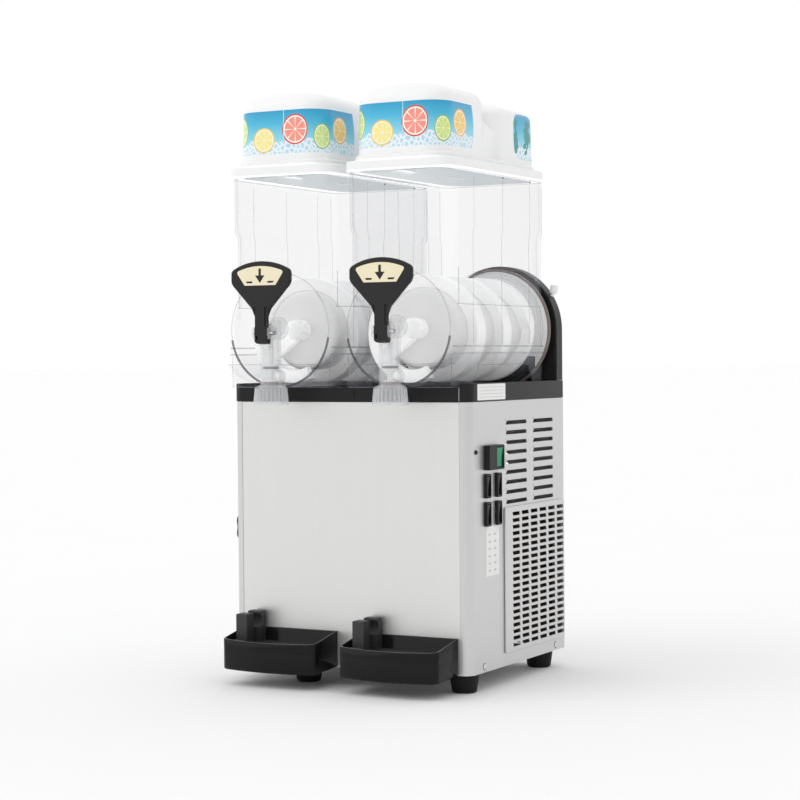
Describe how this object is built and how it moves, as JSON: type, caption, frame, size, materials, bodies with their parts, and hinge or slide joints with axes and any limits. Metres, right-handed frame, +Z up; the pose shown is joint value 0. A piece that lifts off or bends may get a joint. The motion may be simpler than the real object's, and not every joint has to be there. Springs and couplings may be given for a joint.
{
  "type": "slush machine",
  "caption": "Slush machine: clear chilled bowls side by side, each with an auger, lid, pull tap and drip tray, on a vented steel cabinet with rocker switches.",
  "frame": {"origin": "centre of the base of the bounding box, on the floor", "axes": "+Z up, -Y towards the taps, +X towards the side with the switches"},
  "size_m": [0.42, 0.475, 0.888],
  "materials": {
    "steel": "brushed",
    "inner_steel": "plain",
    "black_plastic": "fine satin",
    "black_gloss": "gloss",
    "rubber": "matt",
    "clear_plastic": "clear polycarbonate",
    "white_plastic": "satin",
    "grey_plastic": "satin",
    "brown_rubber": "matt",
    "green_plastic": "translucent green",
    "copper": "dull fins",
    "black_steel": "satin black"
  },
  "bodies": {
    "cabinet": {"base_plate": "inner_steel", "front_panel": "steel", "right_side_panel": "steel", "left_side_panel": "steel", "rear_panel": "steel", "condenser_grille": "steel", "top_deck": "black_plastic", "power_inlet": "black_plastic", "foot_front_left": "rubber", "foot_front_right": "rubber", "foot_rear_left": "rubber", "foot_rear_right": "rubber", "rear_housing": "black_plastic", "rear_cover": "black_plastic", "cover_screw_left": "white_plastic", "cover_screw_right": "white_plastic", "compressor": "black_steel", "condenser": "copper", "fan_motor": "black_steel", "evaporator_left": "grey_plastic", "gearmotor_left": "black_steel", "bowl_gasket_left": "brown_rubber", "evaporator_right": "grey_plastic", "gearmotor_right": "black_steel", "bowl_gasket_right": "brown_rubber", "switch_bezel_main": "black_plastic", "switch_bezel_1": "black_plastic", "switch_bezel_2": "black_plastic", "switch_bezel_3": "black_plastic", "switch_bezel_4": "black_plastic"},
    "fan": {"fan_blade": "grey_plastic"},
    "auger_body_left": {"auger_left": "white_plastic", "auger_shaft_left": "inner_steel", "auger_nut_left": "white_plastic"},
    "bowl_body_left": {"bowl_left": "clear_plastic", "tap_body_left": "clear_plastic", "handle_pin_left": "inner_steel"},
    "handle_body_left": {"tap_handle_left": "black_plastic"},
    "plunger_body_left": {"tap_plunger_left": "white_plastic"},
    "lid_body_left": {"lid_left": "white_plastic"},
    "tray_body_left": {"drip_tray_left": "black_gloss"},
    "grid_body_left": {"drip_grid_left": "black_gloss"},
    "auger_body_right": {"auger_right": "white_plastic", "auger_shaft_right": "inner_steel", "auger_nut_right": "white_plastic"},
    "bowl_body_right": {"bowl_right": "clear_plastic", "tap_body_right": "clear_plastic", "handle_pin_right": "inner_steel"},
    "handle_body_right": {"tap_handle_right": "black_plastic"},
    "plunger_body_right": {"tap_plunger_right": "white_plastic"},
    "lid_body_right": {"lid_right": "white_plastic"},
    "tray_body_right": {"drip_tray_right": "black_gloss"},
    "grid_body_right": {"drip_grid_right": "black_gloss"},
    "rocker_body_main": {"rocker_main": "green_plastic"},
    "rocker_body_1": {"rocker_1": "black_gloss"},
    "rocker_body_2": {"rocker_2": "black_gloss"},
    "rocker_body_3": {"rocker_3": "black_gloss"},
    "rocker_body_4": {"rocker_4": "black_gloss"},
    "knob_body": {"control_knob": "black_plastic"}
  },
  "joints": [
    {"name": "fan_spin", "type": "hinge", "parent": "cabinet", "child": "fan", "pos_m": [0.13, 0.0665, 0.1529], "axis": [1, 0, 0], "continuous": true},
    {"name": "auger_spin_left", "type": "hinge", "parent": "cabinet", "child": "auger_body_left", "pos_m": [-0.1, -0.0085, 0.527], "axis": [0, 1, 0], "continuous": true},
    {"name": "bowl_slide_left", "type": "slide", "parent": "cabinet", "child": "bowl_body_left", "axis": [0, -1, 0], "range_m": [0, 0.34]},
    {"name": "handle_pull_left", "type": "hinge", "parent": "bowl_body_left", "child": "handle_body_left", "pos_m": [-0.1, -0.2315, 0.522], "axis": [1, 0, 0], "range_deg": [0, 45], "stiffness_Nm_per_rad": 0.6, "springref_deg": -17.19},
    {"name": "plunger_lift_left", "type": "slide", "parent": "bowl_body_left", "child": "plunger_body_left", "axis": [0, 0, 1], "range_m": [0, 0.0175]},
    {"name": "lid_lift_left", "type": "slide", "parent": "bowl_body_left", "child": "lid_body_left", "axis": [0, 0, 1], "range_m": [0, 0.15]},
    {"name": "tray_slide_left", "type": "slide", "parent": "cabinet", "child": "tray_body_left", "axis": [0, -1, 0], "range_m": [0, 0.12]},
    {"name": "grid_lift_left", "type": "slide", "parent": "tray_body_left", "child": "grid_body_left", "axis": [0, 0, 1], "range_m": [0, 0.06]},
    {"name": "auger_spin_right", "type": "hinge", "parent": "cabinet", "child": "auger_body_right", "pos_m": [0.1, -0.0085, 0.527], "axis": [0, 1, 0], "continuous": true},
    {"name": "bowl_slide_right", "type": "slide", "parent": "cabinet", "child": "bowl_body_right", "axis": [0, -1, 0], "range_m": [0, 0.34]},
    {"name": "handle_pull_right", "type": "hinge", "parent": "bowl_body_right", "child": "handle_body_right", "pos_m": [0.1, -0.2315, 0.522], "axis": [1, 0, 0], "range_deg": [0, 45], "stiffness_Nm_per_rad": 0.6, "springref_deg": -17.19},
    {"name": "plunger_lift_right", "type": "slide", "parent": "bowl_body_right", "child": "plunger_body_right", "axis": [0, 0, 1], "range_m": [0, 0.0175]},
    {"name": "lid_lift_right", "type": "slide", "parent": "bowl_body_right", "child": "lid_body_right", "axis": [0, 0, 1], "range_m": [0, 0.15]},
    {"name": "tray_slide_right", "type": "slide", "parent": "cabinet", "child": "tray_body_right", "axis": [0, -1, 0], "range_m": [0, 0.12]},
    {"name": "grid_lift_right", "type": "slide", "parent": "tray_body_right", "child": "grid_body_right", "axis": [0, 0, 1], "range_m": [0, 0.06]},
    {"name": "rocker_press_main", "type": "hinge", "parent": "cabinet", "child": "rocker_body_main", "pos_m": [0.2074, -0.0765, 0.3384], "axis": [0, -1, 0], "range_deg": [0, 8]},
    {"name": "rocker_press_1", "type": "hinge", "parent": "cabinet", "child": "rocker_body_1", "pos_m": [0.2027, -0.105, 0.29725], "axis": [0, -1, 0], "range_deg": [0, 8]},
    {"name": "rocker_press_2", "type": "hinge", "parent": "cabinet", "child": "rocker_body_2", "pos_m": [0.2027, -0.069, 0.29725], "axis": [0, -1, 0], "range_deg": [0, 8]},
    {"name": "rocker_press_3", "type": "hinge", "parent": "cabinet", "child": "rocker_body_3", "pos_m": [0.2027, -0.105, 0.25645], "axis": [0, -1, 0], "range_deg": [0, 8]},
    {"name": "rocker_press_4", "type": "hinge", "parent": "cabinet", "child": "rocker_body_4", "pos_m": [0.2027, -0.069, 0.25645], "axis": [0, -1, 0], "range_deg": [0, 8]},
    {"name": "knob_turn", "type": "hinge", "parent": "cabinet", "child": "knob_body", "pos_m": [-0.2, -0.1165, 0.227], "axis": [-1, 0, 0], "range_deg": [0, 270]}
  ],
  "couplings": [
    {"joint": "plunger_lift_left", "follows": "handle_pull_left", "m_per_rad": 0.022},
    {"joint": "plunger_lift_right", "follows": "handle_pull_right", "m_per_rad": 0.022}
  ]
}
